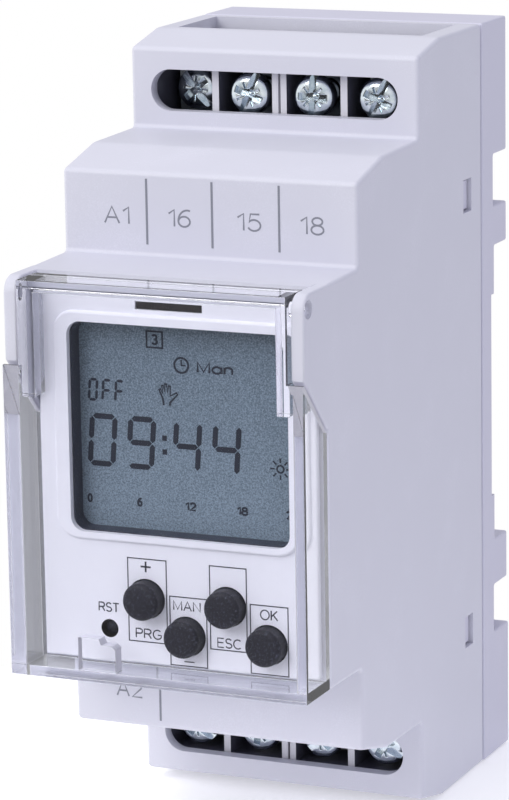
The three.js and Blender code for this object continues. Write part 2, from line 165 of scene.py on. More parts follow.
def roundEdges(piece, width, steps=3, angle=40):
    pick(piece)
    bpy.ops.object.mode_set(mode="EDIT")
    bpy.ops.mesh.select_all(action="SELECT")
    bpy.ops.mesh.remove_doubles(threshold=0.002 * mm)
    bpy.ops.mesh.dissolve_limited(angle_limit=math.radians(0.5))
    bpy.ops.object.mode_set(mode="OBJECT")
    modifier = piece.modifiers.new("round", "BEVEL")
    modifier.width = width * mm
    modifier.segments = steps
    modifier.limit_method = "ANGLE"
    modifier.angle_limit = math.radians(angle)
    modifier.miter_outer = "MITER_ARC"
    applyModifier(piece, modifier)
    return piece


def copyOf(piece, name, move=(0, 0, 0), turn=0, around=(0, 0, 0), flip=None):
    twin = piece.copy()
    twin.data = piece.data.copy()
    twin.name = name
    bpy.context.scene.collection.objects.link(twin)
    middle = Matrix.Translation(Vector(around) * mm)
    spun = middle @ Matrix.Rotation(turn, 4, "Y") @ middle.inverted()
    twin.data.transform(Matrix.Translation(Vector(move) * mm) @ spun)
    if flip:
        twin.data.transform(Matrix.Diagonal([-1 if letter == flip else 1 for letter in "xyz"] + [1]))
        pick(twin)
        bpy.ops.object.mode_set(mode="EDIT")
        bpy.ops.mesh.select_all(action="SELECT")
        bpy.ops.mesh.normals_make_consistent(inside=False)
        bpy.ops.object.mode_set(mode="OBJECT")
    return twin


def joinPieces(name, pieces):
    pick(*pieces)
    bpy.ops.object.join()
    whole = bpy.context.object
    whole.name = name
    whole.data.name = name
    return whole


def arc(centreA, centreB, radius, startAngle, endAngle, steps):
    points = []
    for step in range(steps + 1):
        angle = math.radians(startAngle + (endAngle - startAngle) * step / steps)
        points.append((centreA + radius * math.cos(angle), centreB + radius * math.sin(angle)))
    return points


def roundedOutline(lowA, highA, lowB, highB, radius, steps=8):
    return (arc(highA - radius, highB - radius, radius, 0, 90, steps)
            + arc(lowA + radius, highB - radius, radius, 90, 180, steps)
            + arc(lowA + radius, lowB + radius, radius, 180, 270, steps)
            + arc(highA - radius, lowB + radius, radius, 270, 360, steps))


def finishPiece(piece, body, material, replaced=(), angle=40):
    piece.data.materials.clear()
    piece.data.materials.append(material)
    pick(piece)
    bpy.ops.object.shade_smooth_by_angle(angle=math.radians(angle))
    modifier = piece.modifiers.new("facing", "WEIGHTED_NORMAL")
    modifier.keep_sharp = True
    applyModifier(piece, modifier)
    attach(piece, body)
    if replaced:
        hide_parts(*replaced)


# ---- materials ----

def linear(text):  # sRGB hex to the linear colour that the shader takes
    values = [int(text[i:i + 2], 16) / 255 for i in (1, 3, 5)]
    return [v / 12.92 if v <= 0.04045 else ((v + 0.055) / 1.055) ** 2.4 for v in values] + [1]


def addNode(material, kind, inputs=None, **settings):
    tree = material.node_tree
    node = tree.nodes.new(kind)
    for name, value in settings.items():
        setattr(node, name, value)
    for name, value in (inputs or {}).items():
        if isinstance(value, bpy.types.NodeSocket):
            tree.links.new(value, node.inputs[name])
        else:
            node.inputs[name].default_value = value
    return node


def newMaterial(name):
    material = bpy.data.materials.new(name)
    material.use_nodes = True
    shader = material.node_tree.nodes["Principled BSDF"]
    return material, shader


def setShader(material, shader, inputs):
    for name, value in inputs.items():
        if isinstance(value, bpy.types.NodeSocket):
            material.node_tree.links.new(value, shader.inputs[name])
        else:
            shader.inputs[name].default_value = value


def objectPlace(material):
    return addNode(material, "ShaderNodeTexCoord").outputs["Object"]


def spread(material, source, low, high):  # a 0 to 1 pattern to a range of values
    inputs = {"Value": source, "To Min": low, "To Max": high}
    return addNode(material, "ShaderNodeMapRange", inputs).outputs[0]


def noise(material, place, size, detail):  # size of the pattern in millimetres
    inputs = {"Vector": place, "Scale": 1 / (size * mm), "Detail": detail}
    return addNode(material, "ShaderNodeTexNoise", inputs).outputs["Fac"]


def bumps(material, height, depth, strength=1):
    inputs = {"Height": height, "Distance": depth * mm, "Strength": strength}
    return addNode(material, "ShaderNodeBump", inputs).outputs["Normal"]


def tint(material, source, first, second):
    ramp = addNode(material, "ShaderNodeValToRGB", {"Fac": source})
    ramp.color_ramp.elements[0].color = linear(first)
    ramp.color_ramp.elements[1].color = linear(second)
    return ramp.outputs["Color"]


# spark-textured moulding: a fine even grain, satin, with hardly any change of colour
def mouldedPlastic(name, first, second, rough=0.5, grain=0.16, depth=0.006):
    material, shader = newMaterial(name)
    place = objectPlace(material)
    fine = noise(material, place, grain, 3)
    broad = noise(material, place, 9, 4)
    blend = addNode(material, "ShaderNodeMath", {0: fine, 1: broad}, operation="MULTIPLY").outputs[0]
    setShader(material, shader, {
        "Base Color": tint(material, spread(material, blend, -0.6, 1.6), first, second),
        "Roughness": spread(material, fine, rough - 0.08, rough + 0.08),
        "Normal": bumps(material, fine, depth),
        "IOR": 1.53,  # ABS and polycarbonate blends
    })
    return material


def clearPolycarbonate():  # polished moulding: glass-clear with faint flow lines
    material, shader = newMaterial("clearPolycarbonatePolished")
    flow = noise(material, objectPlace(material), 7, 1)
    setShader(material, shader, {
        "Base Color": linear("#f6f7fb"),
        "Transmission Weight": 1,
        "Roughness": 0.02,
        "IOR": 1.585,
        "Emission Color": linear("#dcddf2"),
        "Emission Strength": 0.002,  # painted glow: a faint emission on the whole cover stands in for light that clear walls pipe to their edges
        "Normal": bumps(material, flow, 0.02, 0.3),
    })
    through = addNode(material, "ShaderNodeBsdfTransparent", {"Color": linear("#fafafd")})
    path = addNode(material, "ShaderNodeLightPath")
    mix = addNode(material, "ShaderNodeMixShader",
                  {0: path.outputs["Is Shadow Ray"], 1: shader.outputs[0], 2: through.outputs[0]})
    output = material.node_tree.nodes["Material Output"]
    material.node_tree.links.new(mix.outputs[0], output.inputs["Surface"])
    return material


def frostedPolycarbonate():  # end faces left dull by the mould; on the rim of the pull tab the same pale satin is a painted highlight along its clear edges
    material, shader = newMaterial("clearPolycarbonateFrostedAndPaintedHighlight")
    fine = noise(material, objectPlace(material), 0.3, 3)
    setShader(material, shader, {
        "Base Color": tint(material, fine, "#dedce8", "#eeedf4"),
        "Roughness": spread(material, fine, 0.5, 0.7),
        "IOR": 1.585,
    })
    return material


def siliconeRubber():  # matt black keys with pale specks painted into their colour as glints of light; the same noise roughens and bumps them
    material, shader = newMaterial("siliconeRubberMatt")
    inputs = {"Vector": objectPlace(material), "Scale": 1 / (0.28 * mm), "Detail": 5, "Roughness": 0.7}
    grainAndPaintedGlints = addNode(material, "ShaderNodeTexNoise", inputs).outputs["Fac"]
    # painted highlights: pale specks in the base colour stand in for glints of light on the rubber
    paintedGlints = addNode(material, "ShaderNodeMapRange", {"Value": grainAndPaintedGlints, "From Min": 0.54, "From Max": 0.74})
    setShader(material, shader, {
        "Base Color": tint(material, paintedGlints.outputs[0], "#100f1c", "#5c5c70"),
        "Roughness": spread(material, grainAndPaintedGlints, 0.38, 0.7),
        "Normal": bumps(material, grainAndPaintedGlints, 0.03, 0.8),
        "IOR": 1.43,
    })
    return material


def platedSteel(name, first, second, rough, grain):  # bright zinc with a bluish passivation
    material, shader = newMaterial(name)
    place = objectPlace(material)
    cloud = noise(material, place, 0.9, 3)
    fine = noise(material, place, grain, 2)
    setShader(material, shader, {
        "Base Color": tint(material, cloud, first, second),
        "Metallic": 1,
        "Roughness": spread(material, cloud, rough - 0.06, rough + 0.1),
        "Normal": bumps(material, fine, 0.006),
    })
    return material


def displayGlass():  # reflective film under glass: blue grey, with the sparkle of its diffuser
    material, shader = newMaterial("liquidCrystalGlass")
    place = objectPlace(material)
    grains = noise(material, place, 0.17, 2)
    sparkle = addNode(material, "ShaderNodeMapRange", {"Value": grains, "From Min": 0.3, "From Max": 0.72})
    height = addNode(material, "ShaderNodeSeparateXYZ", {"Vector": place})
    foot, top = -7 * mm, 18 * mm
    inputs = {"Value": height.outputs["Z"], "From Min": foot, "From Max": top, "To Min": 0.2, "To Max": -0.08}
    paintedShadeFade = addNode(material, "ShaderNodeMapRange", inputs)  # painted shade: a little lighter towards the foot and darker towards the top
    sparkleAndPaintedShade = addNode(material, "ShaderNodeMath", {0: sparkle.outputs[0], 1: paintedShadeFade.outputs[0]}, operation="ADD")
    setShader(material, shader, {
        "Base Color": tint(material, sparkleAndPaintedShade.outputs[0], "#4f5d69", "#8798a6"),
        "Roughness": 0.35,
        "IOR": 1.45,
    })
    return material


def printedInk(name, first, second):  # pad-printed ink: even, a little broken at its edge
    material, shader = newMaterial(name)
    fine = noise(material, objectPlace(material), 0.12, 2)
    setShader(material, shader, {
        "Base Color": tint(material, fine, first, second),
        "Roughness": spread(material, fine, 0.4, 0.55),
        "IOR": 1.5,
    })
    return material


housingPlastic = mouldedPlastic("mouldedLightGreyPlastic", "#cfcfdb", "#dcdce8")
basePlastic = mouldedPlastic("mouldedLightGreyBasePlastic", "#cbcada", "#d8d7e6")
panelPlastic = mouldedPlastic("mouldedPanelPlasticSatin", "#f3f2f9", "#fcfbff", 0.42, 0.2, 0.003)
clipPlastic = mouldedPlastic("acetalClipSmooth", "#b9bac6", "#c6c7d2", rough=0.38, depth=0.003)
blockPlastic = mouldedPlastic("polyamideTerminalBlock", "#d5d4dc", "#e2e1e8", rough=0.5)
# painted shade: dark colour for the screw chamber walls, which are the same light plastic and only dark where
# shade falls
paintedWellShade = mouldedPlastic("polyamideTerminalWellPaintedShade", "#4c4c5a", "#5a5a69", rough=0.4)
darkPlastic = mouldedPlastic("blackMouldedPlastic", "#17171c", "#24242a", rough=0.5)
# painted shade: blue-black lining for the display window's walls, which lie in the panel's shade
paintedRecessShade = mouldedPlastic("blueBlackPaintedRecessShade", "#232838", "#323950", rough=0.4)
# painted shade: dark colour for the shaded wall of the reset hole and for the latch slot
paintedHoleShade = mouldedPlastic("brownBlackPaintedHoleShade", "#1d1716", "#2a2321", rough=0.5)
boardLaminate = mouldedPlastic("solderMaskedLaminate", "#164a2c", "#1f5f39", rough=0.35)
relayPlastic = mouldedPlastic("relayCasePlastic", "#253a70", "#2e4684", rough=0.4)
filmCasePlastic = mouldedPlastic("filmCapacitorCase", "#c9a41e", "#dab62c", rough=0.3)
discEpoxy = mouldedPlastic("dippedEpoxyBlue", "#23559b", "#2f68b4", rough=0.3)
stripRubber = mouldedPlastic("layeredContactRubber", "#a8736c", "#c28d86", rough=0.6)
coverPlastic = clearPolycarbonate()
frostAndPaintedHighlight = frostedPolycarbonate()
keyRubber = siliconeRubber()
screwSteel = platedSteel("brightZincSteelScrew", "#a9bac6", "#f4f8fa", 0.12, 0.08)
frameSteel = platedSteel("zincPlatedSteelSheet", "#a9b1b8", "#cfd5d8", 0.3, 0.1)
wireSteel = platedSteel("drawnSpringWire", "#8e9296", "#b9bdc0", 0.28, 0.05)
lcdGlass = displayGlass()
labelInk = printedInk("greyPrintedInk", "#7d7f8a", "#898b96")
panelInk = printedInk("darkPrintedInk", "#34343f", "#40404c")
segmentInk = printedInk("darkenedLiquidCrystal", "#0c1220", "#141c30")
print("materials ready")


# ---- front housing ----

housing = {
    "wall": 1.6, "softEdge": 0.5, "cutEdge": 0.22,
    "chamferBack": -18, "chamferTop": 43.55, "terminalFace": -24.8, "terminalFoot": 34.2,
    "slopeBack": -35.7, "labelFace": -43.3, "labelTop": 32.1, "shoulder": 22.5, "bodyFront": -52.5,
    "cheekFoot": 13.2, "notchFoot": 6.6, "cheekCorner": 1.9,
    "hinge": (-57.5, 20.8), "hingeHole": 1.05,
    "window": (-15.3, 15.3, 36.25, 41.07), "windowCorner": 2.4,
    "opening": (-14.9, 14.9, -19.9, 19.6), "lipFoot": 20.9,
    "wireSlot": (-15.3, 15.3, -17, -6), "wireSlotHeights": (42, 46),
    "snapWindows": ((23.5, 27.4), (-29.1, -25.3)), "snapDepth": (-10.5, -7.8),
}
housingLow, housingHigh = nodeBox("front_housing")
halfWidth, halfHeight = housingHigh.x, housingHigh.z


def bothWays(corners):  # the upper outline, then its mirror image below
    return corners + [(a, -b) for a, b in reversed(corners)]


def housingOutline(inset):
    h = housing
    rear = housingHigh.y + (inset + 2 if inset else 0)
    return bothWays([
        (rear, halfHeight - inset),
        (h["chamferBack"], halfHeight - inset),
        (h["terminalFace"] + inset, h["chamferTop"] - inset),
        (h["terminalFace"] + inset, h["terminalFoot"] - inset),
        (h["slopeBack"], h["terminalFoot"] - 0.2 - inset),
        (h["labelFace"] + inset, h["labelTop"] - inset),
        (h["labelFace"] + inset, h["shoulder"] + 0.2 - inset),
        (h["bodyFront"] + inset, h["shoulder"] - inset),
    ])


def cheekPlate(name, low, high):
    h = housing
    corner = h["cheekCorner"]
    front = housingLow.y
    root = h["bodyFront"] + 1.2
    outline = [(root, h["notchFoot"]), (h["bodyFront"] + 0.1, h["notchFoot"]), (front, h["cheekFoot"])]
    outline += arc(front + corner, h["shoulder"] - corner, corner, 180, 90, 10)
    outline += [(root, h["shoulder"])]
    plate = addOutline(name, outline, "x", low, high)
    roundEdges(plate, 0.3, 3, 50)
    return cutAway(plate, addRod("hole", "x", h["hinge"], h["hingeHole"], low - 1, high + 1, 32))


def makeFrontHousing():
    h = housing
    inner = halfWidth - h["wall"]
    shell = addOutline("frontHousing", housingOutline(0), "x", -halfWidth, halfWidth)
    roundEdges(shell, h["softEdge"], 4, 8)
    cutAway(shell, addOutline("inside", housingOutline(h["wall"]), "x", -inner, inner))
    face = h["bodyFront"]
    x0, x1, z0, z1 = h["opening"]
    cutAway(shell, addBox("opening", (x0, face - 1, z0), (x1, face + 3, z1)))
    half = inner + 0.2
    weld(shell, addBox("lip", (-half, face - 1.1, h["lipFoot"]), (half, face + 1, h["shoulder"])))
    for sign in (1, -1):
        x0, x1, z0, z1 = h["window"]
        z0, z1 = sorted((sign * z0, sign * z1))
        corners = roundedOutline(x0, x1, z0, z1, h["windowCorner"], 12)
        front = h["terminalFace"]
        cutAway(shell, addOutline("window", corners, "y", front - 1, front + 3))
        x0, x1, y0, y1 = h["wireSlot"]
        z0, z1 = sorted(sign * z for z in h["wireSlotHeights"])
        cutAway(shell, addBox("wireSlot", (x0, y0, z0), (x1, y1, z1)))
        for z0, z1 in h["snapWindows"]:
            x0, x1 = sorted((sign * (inner - 1), sign * (halfWidth + 1)))
            cutAway(shell, addBox("snap", (x0, h["snapDepth"][0], z0), (x1, h["snapDepth"][1], z1)))
    roundEdges(shell, h["cutEdge"], 2, 60)
    weld(shell, cheekPlate("cheek", inner, halfWidth), cheekPlate("cheek", -halfWidth, -inner))
    finishPiece(shell, "body", housingPlastic, ["front_housing"])


makeFrontHousing()
print("front housing done")


# ---- rear base ----

base = {
    "softEdge": 0.4, "rail": 18, "relief": -1.15, "hookBack": 4.2, "edgeIn": 15.8,
    "channelWide": 9.1, "channelNarrow": 7.3, "channelFloor": 0.9, "channelStep": 2.7,
    "hookLip": ((1.5, 17), (1.5, 19), (4.2, 19), (4.2, 16.6), (3.9, 16.3), (2.2, 16.3)), "hookHalf": 12,
    "room": ((-0.8, -43.4), (-0.8, -19.6), (-1.6, -19.6), (-1.6, -13.8), (-2.75, -13.8), (-2.75, 13.8),
             (-1.6, 13.8), (-1.6, 19.7), (2.6, 19.7), (2.6, 43.4)), "roomHalf": 14.2,
    "sideSteps": ((-0.3, 22.8, 29), (-0.3, -29.6, -23.8), (4.2, -23.9, -17)),  # front, foot and head of each
    "tongue": (14.6, 15.9, 17.3), "post": (-1.9, 1.9, -36, -34.5), "postBack": 3.6,
    "reliefHeights": (-12.5, 12.2), "padHalf": 4,
}


def makeRearBase():
    b = base
    front, back = housingHigh.y + 0.3, nodeBox("rear_base")[1].y
    rail, hook = b["rail"], b["hookBack"]
    middle = addOutline("rearBase", [
        (front, halfHeight), (front, -halfHeight), (back, -halfHeight), (back, -rail), (0, -rail), (0, rail),
        (hook, rail), (hook, halfHeight),
    ], "x", -halfWidth, halfWidth)
    for sign in (1, -1):
        x0, x1 = sorted((sign * b["edgeIn"], sign * (halfWidth + 1)))
        for y0, z0, z1 in b["sideSteps"]:
            cutAway(middle, addBox("step", (x0, y0, z0), (x1, back + 1.3, z1)))
    roundEdges(middle, b["softEdge"], 3, 40)
    room = [(front - 1, b["room"][-1][1]), (front - 1, b["room"][0][1])] + list(b["room"])
    cutAway(middle, addOutline("inside", room, "x", -b["roomHalf"], b["roomHalf"]))
    foot, head = b["reliefHeights"]
    relief = addBox("relief", (-halfWidth - 2, b["relief"], foot), (halfWidth + 2, 1, head))
    pad = b["padHalf"]
    cutAway(middle, cutAway(relief, addBox("pad", (-pad, -3, -pad), (pad, 0, pad))))
    wide, narrow, floor = b["channelWide"], b["channelNarrow"], b["channelFloor"]
    foot, head = -halfHeight - 1, -rail + 1
    cutAway(middle, addBox("channel", (-wide, floor, foot), (wide, b["channelStep"], head)))
    cutAway(middle, addBox("channel", (-narrow, floor, foot), (narrow, back + 1, head)))
    hookLip = addOutline("hook", b["hookLip"], "x", -b["hookHalf"], b["hookHalf"])
    x0, x1, z0, z1 = b["post"]  # the spring stands on it
    weld(middle, hookLip, addBox("post", (x0, floor - 0.5, z0), (x1, b["postBack"], z1)))
    roundEdges(middle, 0.15, 2, 60)
    y0, y1 = housing["snapDepth"]
    inner, outer, tip = b["tongue"]
    tongue = [(inner, y0 - 0.7), (outer, y0 - 0.7), (outer, y0 + 0.3), (tip, y0 + 0.3), (tip, y1 - 0.3),
              (outer, y1 - 0.3), (outer, front + 1), (inner, front + 1)]
    for z0, z1 in housing["snapWindows"]:
        for sign in (1, -1):
            corners = [(sign * x, y) for x, y in tongue]
            weld(middle, addOutline("tongue", corners, "z", z0 + 0.3, z1 - 0.3))
    finishPiece(middle, "body", basePlastic, ["rear_base"])


makeRearBase()
print("rear base done")


# ---- front panel ----

panel = {
    "edge": 0.25, "skin": 0.9, "bezelProud": 0.4, "bezel": (1.8, 1.1, 0.9, 1.2), "bezelCorner": 2.6,
    "window": (-12.2, 14.1, -6.5, 17.2), "windowCorner": 1.6, "plug": (-14.6, 14.6, -19.6, 19.3),
    "latchSlot": (-4, 4, 18.9, 19.8), "keyHole": 2.27, "resetHole": 1.05,
}
keyNames = ("prg", "man", "esc", "ok")


def keyPlace(name):  # middle of a key's cap on the panel, from the frame
    low, high = nodeBox("button_" + name)
    return (low.x + high.x) / 2, (low.z + high.z) / 2


def makeFrontPanel():
    p = panel
    low, high = nodeBox("front_panel")
    front = low.y + p["bezelProud"]
    before, beyond = front - 1, front + 4  # the holes are cut from before the face to behind the plug
    plate = addBox("frontPanel", (low.x, front, low.z), (high.x, front + p["skin"], high.z))
    x0, x1, z0, z1 = p["plug"]
    weld(plate, addBox("plug", (x0, front + 0.5, z0), (x1, high.y, z1)))
    roundEdges(plate, p["edge"], 3, 40)
    x0, x1, z0, z1 = p["window"]
    left, right, foot, head = p["bezel"]
    rim = roundedOutline(x0 - left, x1 + right, z0 - foot, z1 + head, p["bezelCorner"], 10)
    bezel = addOutline("bezel", rim, "y", low.y, front + 0.3)
    roundEdges(bezel, 0.35, 4, 60)
    weld(plate, bezel)
    rim = roundedOutline(x0, x1, z0, z1, p["windowCorner"], 10)
    x0, x1, z0, z1 = p["latchSlot"]
    latchSlot = addBox("latchSlot", (x0, before, z0), (x1, beyond, z1))
    cutAway(plate, addOutline("window", rim, "y", front - 2, beyond), latchSlot)
    for name in keyNames:
        cutAway(plate, addRod("keyHole", "y", keyPlace(name), p["keyHole"], before, beyond))
    reset = keyPlace("reset")
    cutAway(plate, addRod("resetHole", "y", reset, p["resetHole"], before, beyond))
    roundEdges(plate, 0.12, 2, 60)
    finishPiece(plate, "body", panelPlastic, ["front_panel"])
    plate.data.materials.append(paintedHoleShade)
    for face in plate.data.polygons:  # wall of the reset hole, coloured dark as painted shade inside the hole
        away = math.hypot(face.center.x / mm - reset[0], face.center.z / mm - reset[1])
        if away < p["resetHole"] + 0.2 and abs(face.normal.y) < 0.3:
            face.material_index = 1


def makePanelLiners():  # painted shade: a dark lining round the display and a dark bar in the latch slot, put where the window wall and the slot lie in shade
    nearest = nodeBox("front_panel")[0].y
    x0, x1, z0, z1 = panel["window"]
    corner = panel["windowCorner"]
    front, back = nearest + 0.75, nodeBox("lcd_glass")[0].y - 0.02
    outer = roundedOutline(x0 - 0.02, x1 + 0.02, z0 - 0.02, z1 + 0.02, corner, 10)
    # painted shade: a dark lining on the window's walls stands in for the shade between the panel and the
    # recessed display
    recessLining = addOutline("displayRecessShade", outer, "y", front, back)
    room = roundedOutline(x0 + 0.16, x1 - 0.16, z0 + 0.16, z1 - 0.16, corner - 0.1, 10)
    cutAway(recessLining, addOutline("room", room, "y", front - 1, back + 1))
    finishPiece(recessLining, "body", paintedRecessShade)
    x0, x1, z0, z1 = panel["latchSlot"]
    # painted shade: a dark bar fills the latch slot, which looks dark because it leads into the shaded
    # housing
    bar = addBox("latchSlotShade", (x0 + 0.05, nearest + 0.6, z0 + 0.02), (x1 - 0.05, nearest + 1.1, z1 - 0.02))
    finishPiece(roundEdges(bar, 0.1, 2), "body", paintedHoleShade)


makeFrontPanel()
makePanelLiners()
print("front panel done")


# ---- clear cover ----

cover = {
    "skin": 1.5, "edge": 0.28, "foot": -22.3, "footWall": 0.9, "pin": 0.95, "pinEnd": 17, "headFoot": 20.9,
    "tab": ((-9.9, -21.8), (-5.4, -21.8), (-5.4, -18.7), (-5.8, -18.3), (-7.1, -18.3), (-7.4, -17.6),
            (-9.9, -17.6)),
    "tabDepth": 1.6,
}


def mirrored(corners):  # right half of an (x, z) outline from the foot up, then its mirror image
    return corners + [(-a, b) for a, b in reversed(corners)]


def makeClearCover():
    c = cover
    low, high = nodeBox("clear_cover")
    front, back, skin, foot, top = low.y, high.y, c["skin"], c["foot"], high.z
    upper = halfWidth - housing["wall"] - 0.3
    innerWide, innerEar = halfWidth - skin, upper - skin
    hingeY = housing["hinge"][0]
    wingTop, notch = housing["cheekFoot"] - 0.4, housing["notchFoot"] - 0.2
    earFoot, earBack, headBack, headFoot = wingTop - 3.6, hingeY + 2.3, hingeY + 3, c["headFoot"]
    shell = mirrored([(halfWidth, foot), (halfWidth, wingTop), (upper, wingTop), (upper, top)])
    plate = addOutline("clearCover", shell, "y", front, back)
    room = mirrored([(innerWide, foot + c["footWall"]), (innerWide, wingTop + 1), (upper, wingTop + 1),
                     (upper, earFoot), (innerEar, earFoot), (innerEar, headFoot)])
    cutAway(plate, addOutline("room", room, "y", front + skin, back + 1))
    cheekFront = housingLow.y - 0.2
    slope = [(back + 1, notch), (back, notch), (cheekFront, wingTop), (cheekFront, top), (back + 1, top)]
    cutAway(plate, addOutline("slope", slope, "x", upper + 0.1, halfWidth + 1))
    cutAway(plate, addOutline("slope", slope, "x", -halfWidth - 1, -upper - 0.1))
    half, beyond = upper + 0.05, back + 2
    cutAway(plate, addBox("behindEars", (-half, earBack, earFoot - 1), (half, beyond, headFoot + 0.02)))
    half = upper + 1
    cutAway(plate, addBox("behindHead", (-half, headBack, headFoot - 0.05), (half, beyond, top + 1)))
    weld(plate, addOutline("pullTab", c["tab"], "y", front + skin - 0.3, front + skin + c["tabDepth"]))
    for sign in (1, -1):
        x0, x1 = sorted((sign * (upper - 0.5), sign * c["pinEnd"]))
        weld(plate, addRod("pin", "x", housing["hinge"], c["pin"], x0, x1, 32))
    roundEdges(plate, c["edge"], 3, 40)
    finishPiece(plate, "cover", coverPlastic, ["clear_cover"])
    plate.data.materials.append(frostAndPaintedHighlight)
    for face in plate.data.polygons:  # the slanted ends of the wings, dull from the mould, and the rim of the pull tab, painted pale as a highlight
        middle = face.center / mm
        slanted = abs(middle.x) > upper + 0.2 and face.normal.y > 0.5 and face.normal.z > 0.5
        # the pull tab's rim gets the pale satin as a painted highlight: the clear tab's edges drawn as white
        # outlines
        tabRimHighlight = -10 < middle.x < -5.3 and foot + 1 < middle.z < -17 and middle.y > front + skin
        if slanted or tabRimHighlight and abs(face.normal.y) < 0.5:
            face.material_index = 1


makeClearCover()
print("clear cover done")


# ---- keys ----

keyShape = {"radius": 2.12, "edge": 0.55, "crown": 0.05, "flange": (2.6, 5.15, 5.95), "stem": 1.2}
resetShape = {"radius": 0.8, "flange": (1.6, 2.5, 3.3)}


def makeKeys():
    k = keyShape
    low, high = nodeBox("button_prg")
    depth = high.y - low.y
    radius, edge = k["radius"], k["edge"]
    wide, start, end = k["flange"]
    shoulder = arc(k["crown"] + edge, radius - edge, edge, 180, 90, 6)  # here as (depth, radius)
    profile = [(0, 0), (0.9, 0.03)] + [(across, along) for along, across in shoulder]
    profile += [(radius, start), (wide, start), (wide, end), (k["stem"], end), (k["stem"], depth), (0, depth)]
    first = addTurned("keyPattern", profile)
    for name in keyNames:
        x, z = keyPlace(name)
        key = copyOf(first, "key" + name.capitalize(), (x, nodeBox("button_" + name)[0].y, z))
        finishPiece(key, "key_" + name, keyRubber, ["button_" + name])
    bpy.data.objects.remove(first)
    x, z = keyPlace("reset")
    low, high = nodeBox("button_reset")
    depth, radius = high.y - low.y, resetShape["radius"]
    wide, start, end = resetShape["flange"]
    profile = [(0, 0), (radius - 0.25, 0), (radius, 0.2), (radius, start), (wide, start), (wide, end)]
    profile += [(radius, end), (radius, depth), (0, depth)]
    pin = addTurned("keyReset", profile, (x, low.y, z), 28)
    finishPiece(pin, "key_reset", keyRubber, ["button_reset"])


makeKeys()
print("keys done")


# ---- display ----

display = {  # heights, widths and left edges in millimetres
    "slant": 0.075, "inkFront": 0.03, "inkBack": 0.01,
    "clock": {"foot": 0.4, "width": 3.4, "height": 6, "stroke": 0.62},
    "clockDigits": (("0", -11.35), ("9", -6.65), ("4", -1.1), ("4", 3.6)),
    "colon": (-2.15, -1.6), "colonHeights": (2.6, 4.15), "colonHalf": 0.3,
    "mode": {"foot": 7.75, "width": 1.2, "height": 2.6, "stroke": 0.31},
    "modeDigits": (("0", -11.15), ("F", -9.5), ("F", -7.95)),
    "dayFrame": (-3.9, -1.8, 14.15, 16.15), "dayLine": 0.2,
    "day": (-3.25, -2.4, 14.5, 15.8), "dayStroke": 0.3,
    "hand": (-2.55, -0.05, 7.73, 10.4), "handStroke": 0.27,
    "dial": (0.33, 12.48), "dialRing": (0.95, 0.72), "dialHands": ((0.42, 13.1), (0.85, 12.56)),
    "manual": (2.15, 6.54, 11.7, 13.1), "smallStroke": 0.28,
    "hours": (("0", -11.16, 0.72), ("6", -5.04, 0.72), ("12", 1.14, 1.45), ("18", 7.35, 1.45),
              ("24", 13.2, 1.45)),  # each with its middle and its width
    "hoursHeight": (-3.88, -2.8),
    "sun": (11.93, 1.75), "sunRing": (0.5, 0.3), "sunRay": (0.68, 1.2), "rayHalf": 0.09,
}
segmentsOf = {"0": "abcdef", "9": "abcdfg", "4": "bcfg", "F": "aefg"}


def makeDisplay():
    low, high = nodeBox("lcd_glass")
    glass = addBox("displayGlass", low, high)
    roundEdges(glass, 0.15, 2, 40)
    finishPiece(glass, "body", lcdGlass, ["lcd_glass"])


def segmentBar(size, left, letter, y):  # one of the seven bars, pointed at both ends
    foot, half = size["foot"], size["stroke"] / 2
    top, middle, right = foot + size["height"], foot + size["height"] / 2, left + size["width"]
    gap = size["stroke"] * 0.12
    level = {"a": top - half, "g": middle, "d": foot + half}
    if letter in level:
        z = level[letter]
        a, b = left + half + gap, right - half - gap
        corners = [(a, z), (a + half, z + half), (b - half, z + half)]
        corners += [(b, z), (b - half, z - half), (a + half, z - half)]
    else:
        x = left + half if letter in "ef" else right - half
        a, b = (middle, top - half) if letter in "bf" else (foot + half, middle)
        a, b = a + gap, b - gap
        corners = [(x, a), (x + half, a + half), (x + half, b - half)]
        corners += [(x, b), (x - half, b - half), (x - half, a + half)]
    corners = [(x + (z - foot) * display["slant"], z) for x, z in corners]
    return addOutline("bar", corners, "y", y - display["inkFront"], y + display["inkBack"])


def displayDigits(size, digits, y):
    return [segmentBar(size, left, letter, y)
            for character, left in digits for letter in segmentsOf[character]]


def inkBox(name, x0, x1, z0, z1, y):
    return addBox(name, (x0, y - display["inkFront"], z0), (x1, y + display["inkBack"], z1))


def inkRing(centre, outer, inner, y, sides):
    ring = addRod("ring", "y", centre, outer, y - display["inkFront"], y + display["inkBack"], sides)
    return cutAway(ring, addRod("hole", "y", centre, inner, y - 1, y + 1, sides))


def loop(a, b, radiusA, radiusB, start, end, steps=14):  # part of an ellipse as points
    return [(a + radiusA * u, b + radiusB * v) for u, v in arc(0, 0, 1, start, end, steps)]


